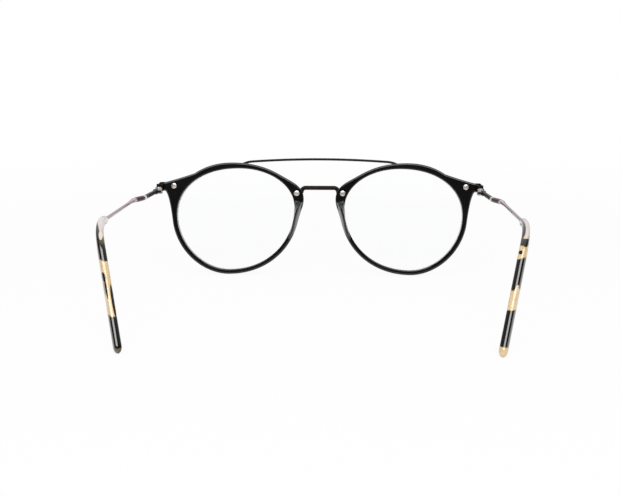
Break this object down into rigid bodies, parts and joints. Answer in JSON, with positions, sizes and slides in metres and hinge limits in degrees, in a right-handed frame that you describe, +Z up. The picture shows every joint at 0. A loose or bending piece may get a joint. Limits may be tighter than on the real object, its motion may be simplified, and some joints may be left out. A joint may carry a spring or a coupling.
{
  "type": "double-bridge eyeglasses",
  "caption": "Round acetate eyeglasses with a metal nose bridge and arched brow bar, clear lenses, and thin metal temples with tortoise tips that fold on screwed hinges.",
  "frame": {"origin": "on the ground, midway between the two sides and midway between the front and the tips' ends", "axes": "+Z up, +X to the wearer's left, +Y from the front of the glasses towards the tips"},
  "size_m": [0.1442, 0.131, 0.0482],
  "materials": {
    "black_acetate": "polished",
    "tortoise_acetate": "polished, black and honey patches",
    "black_metal": "gloss black",
    "rose_gunmetal": "polished, faintly rose",
    "bright_steel": "bright",
    "clear_lens": "clear"
  },
  "bodies": {
    "front": {"brow_bar": "black_metal", "left_bridge_screw": "bright_steel", "left_endpiece": "black_metal", "left_endpiece_screw": "bright_steel", "left_hinge_screw": "bright_steel", "left_lens": "clear_lens", "left_nose_pad": "black_acetate", "left_rim": "black_acetate", "nose_bridge": "black_metal", "right_bridge_screw": "bright_steel", "right_endpiece": "black_metal", "right_endpiece_screw": "bright_steel", "right_hinge_screw": "bright_steel", "right_lens": "clear_lens", "right_nose_pad": "black_acetate", "right_rim": "black_acetate"},
    "left_temple": {"left_hinge_bar": "black_metal", "left_temple_arm": "rose_gunmetal", "left_temple_tip": "tortoise_acetate"},
    "right_temple": {"right_hinge_bar": "black_metal", "right_temple_arm": "rose_gunmetal", "right_temple_tip": "tortoise_acetate"}
  },
  "joints": [
    {"name": "left_temple_fold", "type": "hinge", "parent": "front", "child": "left_temple", "pos_m": [0.0661, -0.04751, 0.03658], "axis": [0, 0, 1], "range_deg": [0, 86]},
    {"name": "right_temple_fold", "type": "hinge", "parent": "front", "child": "right_temple", "pos_m": [-0.0661, -0.04751, 0.03658], "axis": [0, 0, -1], "range_deg": [0, 76]}
  ]
}
